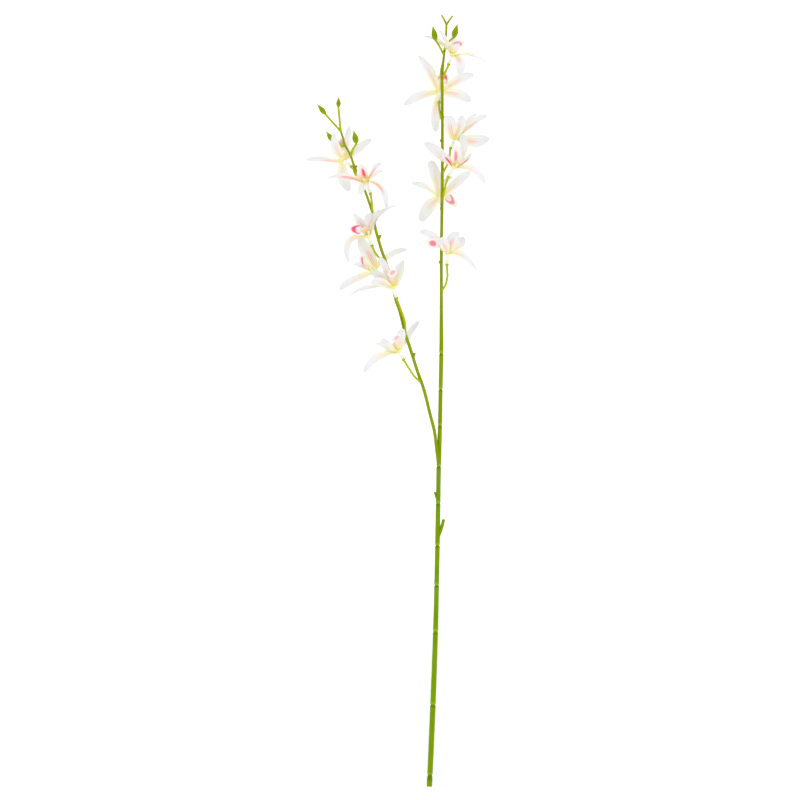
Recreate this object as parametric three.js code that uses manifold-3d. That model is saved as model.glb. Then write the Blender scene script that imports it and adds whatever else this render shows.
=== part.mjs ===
// Orchid stem: a cut green stalk with one side branch, twelve blooms and six buds, lying down.
//
// Places are given as [across, down, height]. Across and down are in drawing units on a sheet
// that lies over the stem, and height is in millimetres above the surface that the stem lies on.
// In the model +X is across, +Y runs up the stem, +Z is up, and the origin is under the stalk.

import * as THREE from "three";
import { mergeVertices } from "three/addons/utils/BufferGeometryUtils.js";
import Module from "manifold-3d";

const wasm = await Module();
wasm.setup();

// Sizes

const UNIT = 1.1; // millimetres to one drawing unit
const ORIGIN = { across: 431.6, down: 740 };
const LIE = 2.86; // height of the stalk's centre where it lies flat
const AIR = 0.35; // clearance between two separate pieces, millimetres

const STALK_SIDES = 8;
const PEG_SIDES = 6;
const RING_PINCH = 0.84; // radius at a ring joint, as a share of the stalk's
const RING_HALF = 1.4; // half the length of a ring joint, drawing units
const PEDICEL_RADIUS = 1.0;
const COLLAR_RADIUS = 1.75;
const COLLAR_LENGTH = 2.4;

const BLADE_STEPS = 6;
const BLADE_THICK = 0.8; // millimetres
const BLADE_CUP = 0.3;
const LIP_CUP = 0.5;
const DISC_RADIUS = 4; // receptacle that a bloom's blades grow from, millimetres
const DISC_HALF = 1.3;
const COLUMN_LENGTH = 6;
const COLUMN_RADIUS = 1.6;
const COLUMN_OFFSET = 1.75;
const LIP_AIR = 0.6; // clearance under a lip's root, millimetres
const LIP_OFFSET = 1.25;
const LIP_SHOWN = 0.92; // share of a lip's width that shows from above
const LIP_STAND = 0.22; // how far a lip runs along its column, as a share of its length

const COLOURS = { green: 0x86a80a, tube: 0xdfe6c4, white: 0xf2f2f0, pink: 0xf3a3b4 };

// Centrelines: [across, down, height, radius in drawing units]

const STALK = [
  [429.4, 787.5, LIE, 2.6],
  [430.0, 775.3, LIE, 2.6, "ring"],
  [433.0, 705.6, LIE, 2.6, "ring"],
  [435.6, 632.7, 5.2, 2.4, "ring"],
  [436.7, 585.8, 8.2, 2.3, "ring"],
  [437.5, 545.7, 11.4, 2.25, "ring"],
  [438.2, 503.7, 15.2, 2.2, "ring"],
  [438.8, 466.4, 19.0, 2.2, "ring"],
  [440.0, 425.6, 23.0, 2.0, "ring"],
  [440.6, 389.5, 26.4, 1.95, "ring"],
  [441.3, 353.5, 29.6, 2.0, "ring"],
  [441.3, 320.0, 32.4, 1.7],
  [441.3, 289.0, 34.4, 1.5],
  [441.3, 250.0, 35.8, 1.45],
  [441.9, 210.0, 36.0, 1.45],
  [442.3, 160.0, 36.0, 1.4],
  [442.2, 100.0, 36.0, 1.35],
  [441.9, 78.0, 36.0, 1.4],
  [441.9, 71.0, 36.0, 1.75],
  [443.2, 62.0, 36.0, 1.2],
  [444.5, 50.5, 36.0, 1.1],
  [446.0, 36.0, 36.0, 1.0],
  [446.4, 24.0, 36.0, 1.0],
];

const BRANCH = [
  [438.4, 467.0, 19.6, 1.2],
  [436.8, 451.0, 22.6, 1.5],
  [434.5, 432.0, 25.2, 1.5],
  [430.0, 414.0, 27.2, 1.5],
  [424.0, 390.0, 29.6, 1.5],
  [417.0, 370.0, 31.6, 1.5],
  [410.0, 348.0, 33.6, 1.5],
  [405.0, 333.0, 34.8, 1.5],
  [400.0, 312.0, 35.6, 1.5],
  [395.5, 299.0, 36.0, 1.4],
  [388.5, 270.0, 36.0, 1.3],
  [381.5, 250.0, 36.0, 1.2],
  [375.5, 229.0, 36.0, 1.2],
  [373.0, 215.0, 36.0, 1.2],
  [367.5, 198.0, 36.0, 1.15],
  [361.5, 182.0, 36.0, 1.15],
  [355.0, 168.0, 36.0, 1.1],
  [350.0, 154.5, 36.0, 1.05],
  [345.0, 145.5, 36.0, 1.0],
  [343.0, 138.0, 36.0, 1.0],
  [340.5, 130.5, 36.0, 0.95],
];

// Stubs, scars and the two bare prongs, each from its root on a centreline to its end

const TWIGS = [
  [[446.4, 25.0, 36, 1.0], [443.9, 19.5, 36.4, 0.8], [441.3, 15.3, 36.8, 0.6]],
  [[446.4, 25.0, 36, 1.0], [449.8, 20.0, 36.4, 0.8], [452.7, 16.0, 36.8, 0.6]],
  [[438.6, 503.0, 15.2, 1.2], [436.2, 496.5, 16.6, 1.1], [434.6, 492.0, 17.2, 0.8]],
  [[438.2, 537.0, 12.2, 1.6], [441.4, 528.5, 13.0, 1.6], [443.9, 519.5, 13.8, 1.4]],
  [[442.2, 119.6, 36, 1.1], [443.7, 116.6, 36.6, 0.7]],
  [[442.3, 143.2, 36, 1.2], [440.2, 139.8, 36.6, 0.8]],
  [[441.3, 264.4, 35.4, 1.3], [439.2, 261.2, 36.0, 0.9]],
  [[413.4, 357.0, 32.8, 1.3], [414.8, 353.0, 33.4, 0.9]],
  [[378.8, 238.8, 36, 1.4], [380.6, 235.2, 36.6, 1.0]],
  [[355.0, 168.5, 36, 1.4], [356.9, 165.8, 36.6, 0.9]],
];

// Buds: the way of the pedicel from its foot to the bud's base, then the bud's tip and radius

const BUDS = [
  { way: [[443.4, 54.5, 36], [439.0, 46.5, 46.5], [435.5, 41.5, 52]], tip: [432.5, 26.5, 54], radius: 3.0 },
  { way: [[444.6, 50.5, 36], [449.3, 42.0, 45], [453.5, 38.5, 50]], tip: [457.5, 24.5, 53], radius: 3.0 },
  { way: [[340.8, 131.5, 36], [332.0, 122.0, 37], [325.7, 114.7, 38]], tip: [317.0, 104.0, 39], radius: 2.5 },
  { way: [[340.7, 131.5, 36], [339.5, 118.0, 37], [338.5, 107.5, 38]], tip: [338.7, 97.0, 39], radius: 2.3 },
  { way: [[344.6, 146.5, 36], [338.0, 145.0, 34], [333.0, 141.5, 34]], tip: [326.0, 131.3, 35], radius: 2.6 },
  { way: [[350.8, 156.5, 36], [353.2, 149.5, 38], [356.5, 144.0, 40]], tip: [353.7, 130.3, 42], radius: 3.1 },
];

// Blooms. way runs from the foot on the stem to the end of the peg, and face is the middle of
// the bloom. A blade is its tip, then its full width, the width that shows from above, and
// maybe a place halfway along it. The lip is its tip and its width.

const BLOOMS = [
  {
    name: "right_bloom_1",
    way: [[442.6, 78.0, 36], [446.0, 71.0, 39.5], [449.0, 64.0, 42]],
    face: [452.5, 55.0, 47],
    blades: [
      { tip: [491.5, 68.0, 48], width: 11, shown: 2.5, half: [474.0, 57.3, 51] },
      { tip: [459.0, 76.0, 68], width: 11, shown: 10.5, half: [459.5, 63.0, 61] },
      { tip: [436.5, 28.5, 59], width: 9, shown: 5, half: [445.0, 42.0, 56] },
      { tip: [422.5, 37.0, 40], width: 7, shown: 4, half: [438.5, 42.5, 42.8] },
      { tip: [452.0, 31.0, 37], width: 9, shown: 6, half: [453.0, 42.0, 40] },
    ],
    lip: { tip: [460.5, 41.0, 64], width: 12 },
  },
  {
    name: "right_bloom_2",
    way: [[441.6, 120.0, 36], [439.4, 111.0, 35], [439.0, 102.0, 32]],
    face: [440.0, 92.0, 25],
    blades: [
      { tip: [417.5, 55.0, 25], width: 11, shown: 10 },
      { tip: [404.0, 105.0, 23], width: 10, shown: 9 },
      { tip: [436.0, 131.5, 21], width: 10.5, shown: 10, half: [435.2, 112.0, 18] },
      { tip: [471.0, 101.0, 2.2], width: 12, shown: 10.5 },
      { tip: [474.0, 75.0, 22], width: 11, shown: 9 },
    ],
    lip: { tip: [446.0, 71.0, 14], width: 14 },
  },
  {
    name: "right_bloom_3",
    way: [[442.6, 173.0, 36], [447.0, 165.5, 38.5], [449.6, 156.0, 40], [451.0, 147.5, 42]],
    face: [455.0, 138.0, 48],
    blades: [
      { tip: [448.5, 116.5, 64], width: 14, shown: 13, half: [449.5, 127.0, 64] },
      { tip: [461.5, 116.5, 66], width: 10, shown: 9, half: [459.5, 127.0, 62] },
      { tip: [487.0, 116.5, 50], width: 10, shown: 7 },
      { tip: [477.0, 114.0, 32], width: 10, shown: 6 },
      { tip: [489.0, 140.0, 50], width: 14, shown: 13, half: [474.0, 142.0, 43] },
    ],
    lip: { tip: [450.5, 121.0, 45], width: 10 },
  },
  {
    name: "right_bloom_4",
    way: [[442.3, 201.0, 36], [445.5, 185.0, 39], [448.8, 176.3, 42]],
    face: [454.0, 167.0, 48],
    blades: [
      { tip: [461.0, 135.0, 58], width: 10, shown: 8.5, half: [462.5, 149.5, 48] },
      { tip: [440.5, 155.0, 60], width: 9, shown: 7, half: [447.0, 160.0, 56] },
      { tip: [424.0, 143.5, 46], width: 12, shown: 10.5, half: [439.0, 154.5, 45] },
      { tip: [470.5, 153.5, 42], width: 8, shown: 4.5, half: [466.0, 161.5, 44] },
      { tip: [484.0, 184.0, 50], width: 12, shown: 8, half: [472.0, 171.0, 52] },
    ],
    lip: { tip: [455.0, 145.0, 58], width: 11 },
  },
  {
    name: "right_bloom_5",
    way: [[441.9, 226.0, 36], [441.6, 217.0, 32.5], [441.5, 208.0, 29]],
    face: [441.0, 197.0, 23],
    blades: [
      { tip: [430.0, 160.5, 23], width: 12, shown: 11 },
      { tip: [411.5, 183.5, 12], width: 9, shown: 5.5 },
      { tip: [421.0, 221.5, 12], width: 14, shown: 13 },
      { tip: [471.0, 172.0, 24], width: 11, shown: 9.5, half: [456.0, 184.5, 27] },
      { tip: [453.0, 176.5, 6], width: 9, shown: 5, half: [441.0, 187.0, 7.5] },
    ],
    lip: { tip: [457.0, 207.0, 14], width: 10.5 },
  },
  {
    name: "right_bloom_6",
    way: [[441.4, 291.0, 34.4], [445.5, 285.0, 37], [447.5, 276.0, 39.5], [447.0, 263.8, 42]],
    face: [447.5, 253.0, 48],
    blades: [
      { tip: [419.8, 231.8, 40], width: 11, shown: 9, half: [432.5, 238.0, 44] },
      { tip: [437.5, 240.5, 71], width: 11, shown: 9, half: [443.3, 245.0, 70] },
      { tip: [459.5, 234.5, 64], width: 13, shown: 11.5, half: [452.0, 241.5, 62] },
      { tip: [462.0, 236.5, 32], width: 11, shown: 9, half: [459.0, 246.0, 36] },
      { tip: [477.5, 272.5, 50], width: 10, shown: 8, half: [463.0, 257.0, 52] },
    ],
    lip: { tip: [424.8, 242.5, 53], width: 12 },
  },
  {
    name: "left_bloom_1",
    way: [[359.6, 180.0, 36], [354.5, 173.0, 35.5], [350.9, 166.5, 35]],
    face: [343.0, 160.5, 33],
    blades: [
      { tip: [306.5, 159.7, 33], width: 9, shown: 5.5, half: [325.0, 160.5, 24] },
      { tip: [334.5, 131.0, 54], width: 10.5, shown: 9.5, half: [336.2, 147.0, 51] },
      { tip: [349.5, 126.5, 20], width: 10, shown: 7, half: [348.0, 143.0, 19] },
      { tip: [371.5, 139.0, 24], width: 10.5, shown: 8.5, half: [357.2, 150.5, 27] },
      { tip: [349.5, 191.0, 16], width: 13, shown: 12 },
    ],
    lip: { tip: [343.3, 137.5, 28], width: 9.5 },
  },
  {
    name: "left_bloom_2",
    way: [[373.0, 216.0, 36], [372.0, 204.0, 39.5], [370.0, 193.0, 42]],
    face: [366.0, 182.0, 48],
    blades: [
      { tip: [327.0, 178.5, 51], width: 10, shown: 7, half: [345.5, 177.8, 53] },
      { tip: [381.5, 165.0, 68], width: 9, shown: 4.5 },
      { tip: [385.0, 171.5, 34], width: 9, shown: 5 },
      { tip: [386.0, 210.0, 54], width: 10, shown: 7, half: [381.0, 189.5, 54] },
      { tip: [361.0, 195.5, 70], width: 9, shown: 8 },
    ],
    lip: { tip: [361.0, 164.5, 56], width: 12 },
  },
  {
    name: "left_bloom_3",
    way: [[384.4, 259.0, 36], [379.0, 257.5, 36], [375.0, 252.5, 38], [371.7, 245.0, 41]],
    face: [368.0, 236.0, 47],
    blades: [
      { tip: [352.8, 212.8, 54], width: 10, shown: 9, half: [360.0, 224.0, 48] },
      { tip: [369.0, 214.0, 60], width: 12, shown: 11, half: [370.0, 224.5, 49] },
      { tip: [380.5, 210.5, 60], width: 9, shown: 5 },
      { tip: [397.0, 207.0, 48], width: 9, shown: 4, half: [381.5, 214.5, 49] },
      { tip: [349.3, 262.5, 46], width: 9, shown: 7.5, half: [349.5, 243.0, 49] },
    ],
    lip: { tip: [348.5, 229.5, 60], width: 12 },
  },
  {
    name: "left_bloom_4",
    way: [[391.4, 281.0, 36], [386.5, 279.0, 34], [382.5, 277.0, 32.5]],
    face: [374.5, 270.5, 30],
    blades: [
      { tip: [359.5, 237.0, 31], width: 14, shown: 13, half: [368.0, 252.8, 30] },
      { tip: [339.3, 289.5, 26], width: 10, shown: 8, half: [356.0, 279.5, 22] },
      { tip: [353.0, 264.0, 1.3], width: 11, shown: 7 },
      { tip: [407.0, 249.7, 22], width: 10, shown: 6.5, half: [389.0, 256.5, 23] },
      { tip: [381.0, 259.0, 5], width: 10, shown: 6 },
    ],
    lip: { tip: [359.5, 254.5, 6], width: 10 },
  },
  {
    name: "left_bloom_5",
    way: [[405.6, 336.0, 34.6], [404.7, 322.0, 39.5], [400.5, 309.0, 41.5], [396.3, 297.5, 43]],
    face: [393.0, 287.0, 49],
    blades: [
      { tip: [379.5, 258.0, 58], width: 10, shown: 7 },
      { tip: [404.0, 260.0, 58], width: 12, shown: 11, half: [399.5, 272.0, 51] },
      { tip: [371.0, 283.0, 72], width: 11, shown: 9 },
      { tip: [350.0, 295.8, 48], width: 9, shown: 4, half: [371.0, 288.0, 50] },
      { tip: [371.5, 272.0, 42], width: 10, shown: 9, half: [380.0, 277.5, 47] },
    ],
    lip: { tip: [393.5, 268.5, 68], width: 11 },
  },
  {
    name: "left_bloom_6",
    way: [[420.6, 382.0, 30.6], [414.0, 376.0, 34], [409.0, 368.5, 37], [403.0, 359.0, 39]],
    face: [398.0, 351.0, 42],
    blades: [
      { tip: [419.0, 321.0, 22], width: 10, shown: 7, half: [407.0, 339.0, 24] },
      { tip: [401.5, 329.5, 50], width: 12, shown: 10, half: [401.0, 340.0, 43] },
      { tip: [383.5, 338.5, 53], width: 12, shown: 10, half: [386.5, 347.0, 50] },
      { tip: [374.5, 344.5, 34], width: 9, shown: 4 },
      { tip: [364.5, 373.0, 45], width: 11, shown: 8, half: [378.0, 358.0, 47] },
    ],
    lip: { tip: [398.0, 334.0, 68], width: 10 },
  },
];

// Places and directions

const place = ([across, down, height]) =>
  new THREE.Vector3((across - ORIGIN.across) * UNIT, (ORIGIN.down - down) * UNIT, height);

const UP = new THREE.Vector3(0, 0, 1);
const ALONG = new THREE.Vector3(0, 1, 0);

const towards = (from, to) => to.clone().sub(from).normalize();

const shifted = (point, direction, distance) => point.clone().addScaledVector(direction, distance);

const squared = (vector, axis) => shifted(vector, axis, -vector.dot(axis)).normalize();

// Solids

function solid(geometry) {
  const bare = geometry.clone();
  bare.deleteAttribute("normal");
  bare.deleteAttribute("uv");
  const welded = mergeVertices(bare, 1e-4);
  const mesh = new wasm.Mesh({
    numProp: 3,
    vertProperties: new Float32Array(welded.attributes.position.array),
    triVerts: new Uint32Array(welded.index.array),
  });
  return new wasm.Manifold(mesh);
}

const fused = (geometries) =>
  geometries.map(solid).reduce((whole, piece) => whole.add(piece));

function geometryOf(manifold) {
  const mesh = manifold.getMesh();
  const geometry = new THREE.BufferGeometry();
  geometry.setAttribute("position", new THREE.BufferAttribute(mesh.vertProperties, 3));
  geometry.setIndex(new THREE.BufferAttribute(mesh.triVerts, 1));
  return geometry;
}

// A rod of changing thickness: a cylinder whose rows are moved to the stations, each a place
// and a radius to the flats, both in millimetres.
function rod(stations, sides) {
  const last = stations.length - 1;
  const geometry = new THREE.CylinderGeometry(1, 1, 1, sides, last);
  geometry.rotateY(Math.PI / sides);
  const overall = towards(stations[0].at, stations[last].at);
  const guide = Math.abs(overall.dot(UP)) > 0.9 ? ALONG : UP;
  const flats = 1 / Math.cos(Math.PI / sides);
  const position = geometry.attributes.position;
  const local = new THREE.Vector3();
  for (let i = 0; i < position.count; i += 1) {
    local.fromBufferAttribute(position, i);
    const row = Math.round((0.5 - local.y) * last);
    const { at, radius } = stations[row];
    const before = stations[Math.max(row - 1, 0)].at;
    const after = stations[Math.min(row + 1, last)].at;
    const ahead = towards(before, after);
    const side = new THREE.Vector3().crossVectors(ahead, guide).normalize();
    const over = new THREE.Vector3().crossVectors(ahead, side);
    const spot = shifted(at, side, local.x * radius * flats);
    spot.addScaledVector(over, local.z * radius * flats);
    position.setXYZ(i, spot.x, spot.y, spot.z);
  }
  return geometry;
}

const station = ([across, down, height, radius]) =>
  ({ at: place([across, down, height]), radius: radius * UNIT });

// The stations of a jointed centreline, with each ring joint as a short narrow neck.
function jointed(line) {
  const stations = [];
  line.forEach((entry, i) => {
    const here = station(entry);
    if (entry[4] !== "ring") {
      stations.push(here);
      return;
    }
    const back = towards(here.at, station(line[i - 1]).at);
    const on = towards(here.at, station(line[i + 1]).at);
    stations.push({ at: shifted(here.at, back, RING_HALF * UNIT), radius: here.radius });
    stations.push({ at: here.at, radius: here.radius * RING_PINCH });
    stations.push({ at: shifted(here.at, on, RING_HALF * UNIT), radius: here.radius });
  });
  return stations;
}

const pedicelStations = (way) =>
  way.map((point) => ({ at: place(point), radius: PEDICEL_RADIUS * UNIT }));

// A pedicel that ends in a collar, square to the way that its bloom opens.
function peg(bloom) {
  const { opening } = openingOf(bloom);
  const stations = pedicelStations(bloom.way);
  const end = stations.pop().at;
  const start = shifted(end, opening, -COLLAR_LENGTH * UNIT);
  stations.push({ at: shifted(start, opening, -0.4 * UNIT), radius: PEDICEL_RADIUS * UNIT });
  stations.push({ at: start, radius: COLLAR_RADIUS * UNIT });
  stations.push({ at: end, radius: COLLAR_RADIUS * UNIT });
  return rod(stations, PEG_SIDES);
}

const BUD_PROFILE = [[0, 0.34], [0.1, 0.72], [0.32, 1], [0.58, 0.8], [0.82, 0.38], [1, 0.12]];

function bud({ tip, way, radius }) {
  const base = place(way[way.length - 1]);
  const axis = place(tip).sub(base);
  const stations = BUD_PROFILE.map(([along, share]) =>
    ({ at: shifted(base, axis, along), radius: radius * UNIT * share }));
  stations.unshift({ at: shifted(base, axis, -0.08), radius: PEDICEL_RADIUS * UNIT });
  return rod(stations, PEG_SIDES);
}

// Blades

const bladeWidth = (t) => {
  const foot = 0.3 + 0.7 * Math.sin((Math.PI / 2) * Math.min(t / 0.52, 1));
  const past = Math.max(0, (0.97 * t - 0.55) / 0.45);
  return foot * Math.sqrt(1 - past ** 2.6);
};
const lipWidth = (t) => 0.13 + 0.87 * Math.sin(Math.PI * Math.min(0.86 * t ** 1.4, 1)) ** 1.1;

function spineOf(root, halfway, tip) {
  const bend = halfway.clone().multiplyScalar(2).addScaledVector(root, -0.5);
  bend.addScaledVector(tip, -0.5);
  return new THREE.QuadraticBezierCurve3(root, bend, tip);
}

// The direction across a blade that shows the wanted share of its width from above, with the
// blade's inner face turned to the side that the bloom opens to.
function acrossBlade(root, tip, share, opening) {
  const chord = towards(root, tip);
  const level = new THREE.Vector3().crossVectors(chord, UP).normalize();
  const steep = new THREE.Vector3().crossVectors(chord, level);
  const turn = Math.acos(Math.min(share, 1));
  const choices = [turn, -turn].map((angle) => {
    const across = level.clone().multiplyScalar(Math.cos(angle));
    across.addScaledVector(steep, Math.sin(angle));
    const inner = new THREE.Vector3().crossVectors(across, chord);
    return { across, facing: inner.dot(opening) };
  });
  choices.sort((a, b) => Math.abs(b.facing) - Math.abs(a.facing));
  return choices[0].facing < 0 ? choices[0].across.negate() : choices[0].across;
}

// A closed blade round a sheet: both faces are split alike, and a rim joins them.
function blade({ spine, across, half, outline, cup }) {
  const sheet = new THREE.PlaneGeometry(2, 1, 2, BLADE_STEPS);
  const count = sheet.attributes.position.count;
  const spots = [];
  for (const side of [0.5, -0.5]) {
    for (let i = 0; i < count; i += 1) {
      const u = sheet.attributes.position.getX(i);
      const t = sheet.attributes.position.getY(i) + 0.5;
      const ahead = spine.getTangent(t);
      const sideways = squared(across, ahead);
      const inner = new THREE.Vector3().crossVectors(sideways, ahead);
      const reach = half * outline(t);
      const spot = shifted(spine.getPoint(t), sideways, u * reach);
      spot.addScaledVector(inner, u * u * reach * cup + side * BLADE_THICK);
      spots.push(spot.x, spot.y, spot.z);
    }
  }
  const faces = Array.from(sheet.index.array);
  const triangles = [...faces];
  for (let i = 0; i < faces.length; i += 3) {
    triangles.push(faces[i + 2] + count, faces[i + 1] + count, faces[i] + count);
  }
  const rows = BLADE_STEPS + 1;
  const rim = [0, 1, 2];
  for (let row = 1; row < rows; row += 1) rim.push(row * 3 + 2);
  rim.push(rows * 3 - 2, rows * 3 - 3);
  for (let row = rows - 2; row > 0; row -= 1) rim.push(row * 3);
  rim.forEach((a, i) => {
    const b = rim[(i + 1) % rim.length];
    triangles.push(a, b, b + count, a, b + count, a + count);
  });
  const geometry = new THREE.BufferGeometry();
  geometry.setAttribute("position", new THREE.Float32BufferAttribute(spots, 3));
  geometry.setIndex(triangles);
  return geometry;
}

// One bloom

function openingOf({ way, face }) {
  const socket = place(way[way.length - 1]);
  const middle = place(face);
  return { socket, middle, opening: towards(socket, middle) };
}

function tepal(bloom, { tip, width, shown, half }) {
  const { middle, opening } = openingOf(bloom);
  const end = place(tip);
  const outward = squared(towards(middle, half ? place(half) : end), opening);
  const root = shifted(middle, outward, DISC_RADIUS * 0.62).addScaledVector(opening, -0.6);
  const bulge = root.distanceTo(end) * 0.1;
  const halfway = half ? place(half) : shifted(root.clone().lerp(end, 0.5), opening, bulge);
  return blade({
    spine: spineOf(root, halfway, end),
    across: acrossBlade(root, end, shown / width, opening),
    half: (width * UNIT) / 2,
    outline: bladeWidth,
    cup: BLADE_CUP,
  });
}

function receptacle(bloom) {
  const { middle, opening } = openingOf(bloom);
  return rod(
    [
      { at: shifted(middle, opening, -DISC_HALF), radius: DISC_RADIUS * 0.8 },
      { at: shifted(middle, opening, DISC_HALF), radius: DISC_RADIUS },
    ],
    STALK_SIDES,
  );
}

// The lip lies to one side of the column. away points from the lip to the column.
function lipFrame(bloom) {
  const { middle, opening } = openingOf(bloom);
  const end = place(bloom.lip.tip);
  const across = acrossBlade(middle, end, LIP_SHOWN, opening);
  const inner = new THREE.Vector3().crossVectors(across, towards(middle, end));
  const sideways = squared(towards(middle, end), opening);
  return { across, away: squared(shifted(inner, sideways, -0.4), opening) };
}

function column(bloom) {
  const { middle, opening } = openingOf(bloom);
  const { away } = lipFrame(bloom);
  const root = shifted(middle, away, COLUMN_OFFSET);
  const head = shifted(root, away, 0.8).addScaledVector(opening, COLUMN_LENGTH);
  return rod(
    [
      { at: root, radius: COLUMN_RADIUS * 0.8 },
      { at: root.clone().lerp(head, 0.75), radius: COLUMN_RADIUS },
      { at: head, radius: COLUMN_RADIUS * 0.6 },
    ],
    PEG_SIDES,
  );
}

function lip(bloom) {
  const { middle, opening } = openingOf(bloom);
  const { across, away } = lipFrame(bloom);
  const lift = DISC_HALF + BLADE_THICK / 2 + LIP_AIR;
  const root = shifted(middle, opening, lift).addScaledVector(away, -LIP_OFFSET);
  const end = place(bloom.lip.tip);
  const bend = shifted(root, opening, root.distanceTo(end) * LIP_STAND);
  return blade({
    spine: new THREE.QuadraticBezierCurve3(root, bend, end),
    across,
    half: (bloom.lip.width * UNIT) / 2,
    outline: lipWidth,
    cup: LIP_CUP,
  });
}

function calyx(bloom) {
  const { socket, middle, opening } = openingOf(bloom);
  const start = shifted(socket, opening, AIR);
  const end = shifted(middle, opening, -DISC_HALF - AIR);
  return rod(
    [
      { at: start, radius: 1.7 * UNIT },
      { at: start.clone().lerp(end, 0.55), radius: 2.0 * UNIT },
      { at: end, radius: 2.6 * UNIT },
    ],
    STALK_SIDES,
  );
}

// The whole stem

const STUFF = {
  green: new THREE.MeshStandardMaterial({ color: COLOURS.green, roughness: 0.45, metalness: 0 }),
  tube: new THREE.MeshStandardMaterial({ color: COLOURS.tube, roughness: 0.5, metalness: 0 }),
  white: new THREE.MeshStandardMaterial({ color: COLOURS.white, roughness: 0.85, metalness: 0 }),
  pink: new THREE.MeshStandardMaterial({ color: COLOURS.pink, roughness: 0.85, metalness: 0 }),
};

function named(name, geometries, material) {
  const mesh = new THREE.Mesh(geometryOf(fused(geometries)), material);
  mesh.name = name;
  return mesh;
}

const stem = new THREE.Group();

stem.add(named("stem", [
  rod(jointed(STALK), STALK_SIDES),
  rod(BRANCH.map(station), STALK_SIDES),
  ...TWIGS.map((twig) => rod(twig.map(station), PEG_SIDES)),
  ...BUDS.map(({ way }) => rod(pedicelStations(way), PEG_SIDES)),
  ...BUDS.map(bud),
  ...BLOOMS.map(peg),
], STUFF.green));

for (const bloom of BLOOMS) {
  const group = new THREE.Group();
  const white = [receptacle(bloom), column(bloom), ...bloom.blades.map((b) => tepal(bloom, b))];
  group.add(named(`${bloom.name}_tepals`, white, STUFF.white));
  group.add(named(`${bloom.name}_lip`, [lip(bloom)], STUFF.pink));
  group.add(named(`${bloom.name}_tube`, [calyx(bloom)], STUFF.tube));
  stem.add(group);
}

export default stem;
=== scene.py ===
# %% [markdown]
# # An orchid stem
#
# This lesson dresses a long cut orchid stem: a jointed green stalk with one side branch, twelve
# white and pink blooms and six buds. It lies on a pale table and is seen from straight above.
# The stem is a made one, so its greens are moulded plastic and its petals are printed cloth.

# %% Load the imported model
import math
import random
from typing import NamedTuple

import bmesh
import bpy
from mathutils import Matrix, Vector
from mathutils.noise import noise


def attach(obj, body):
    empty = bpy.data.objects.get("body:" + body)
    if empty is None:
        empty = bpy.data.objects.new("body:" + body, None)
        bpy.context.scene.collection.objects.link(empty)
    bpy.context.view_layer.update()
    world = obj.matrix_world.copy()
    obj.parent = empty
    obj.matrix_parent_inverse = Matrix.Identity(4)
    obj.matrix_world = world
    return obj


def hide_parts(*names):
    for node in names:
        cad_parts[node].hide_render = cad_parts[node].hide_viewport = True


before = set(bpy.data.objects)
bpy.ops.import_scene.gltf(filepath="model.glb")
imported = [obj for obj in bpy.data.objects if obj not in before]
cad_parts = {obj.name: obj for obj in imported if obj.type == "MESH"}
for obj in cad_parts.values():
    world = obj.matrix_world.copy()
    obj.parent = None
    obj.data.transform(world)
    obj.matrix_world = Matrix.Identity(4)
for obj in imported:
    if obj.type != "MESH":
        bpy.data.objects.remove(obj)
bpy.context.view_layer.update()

# %% [markdown]
# ## Places
#
# The stem is laid out on a drawing sheet. Across and down are in drawing units, and height is
# in millimetres above the table. One function turns such a place into metres, so the numbers
# can stay as easy to read as a sewing pattern.

# %% Places in metres
UNIT = 0.0011
ORIGIN_ACROSS = 431.6
ORIGIN_DOWN = 740.0


def place(spot):
    across, down, height = spot
    return Vector(((across - ORIGIN_ACROSS) * UNIT, (ORIGIN_DOWN - down) * UNIT, height / 1000))


print("the cut end is at", place((429.4, 787.5, 2.86)))

# %% [markdown]
# ## Colours and nodes
#
# Colours are written as they look on a screen. Shaders want linear numbers, so one function
# turns the hex into those. Others fill a node's sockets, each with a value or a link, and add a
# node. The small ones after them are the sums, ranges and blends of all the materials.


# %% Colours, nodes and materials
def hue(hex_code):
    parts = [int(hex_code[i : i + 2], 16) / 255 for i in (1, 3, 5)]
    linear = [p / 12.92 if p <= 0.04045 else ((p + 0.055) / 1.055) ** 2.4 for p in parts]
    return (*linear, 1.0)


def fill(tree, node, inputs):
    for name, value in inputs.items():
        if isinstance(value, bpy.types.NodeSocket):
            tree.links.new(value, node.inputs[name])
        else:
            node.inputs[name].default_value = value


def add(tree, kind, inputs=None, **settings):
    node = tree.nodes.new(kind)
    for name, value in settings.items():
        setattr(node, name, value)
    fill(tree, node, inputs or {})
    return node


def new_material(name):
    material = bpy.data.materials.new(name)
    material.use_nodes = True
    tree = material.node_tree
    return material, tree, tree.nodes["Principled BSDF"]


print("white in linear light:", [round(v, 3) for v in hue("#F4F4F2")])


# %% Sums and ranges
def maths(tree, operation, *values):
    node = add(tree, "ShaderNodeMath", dict(enumerate(values)), operation=operation)
    return node.outputs[0]


def times(tree, first, *others):
    for other in others:
        first = maths(tree, "MULTIPLY", first, other)
    return first


def plus(tree, first, second):
    return maths(tree, "ADD", first, second)


def spread(tree, value, start, end, low=0.0, high=1.0, kind="LINEAR"):
    """Maps the run from start to end on to the one from low to high, and stays at its ends."""
    inputs = {"Value": value, "From Min": start, "From Max": end, "To Min": low, "To Max": high}
    return add(tree, "ShaderNodeMapRange", inputs, interpolation_type=kind).outputs[0]


def fade(tree, value, start, end, low=0.0, high=1.0):
    """The same, with a soft start and a soft end."""
    return spread(tree, value, start, end, low, high, "SMOOTHSTEP")


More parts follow.
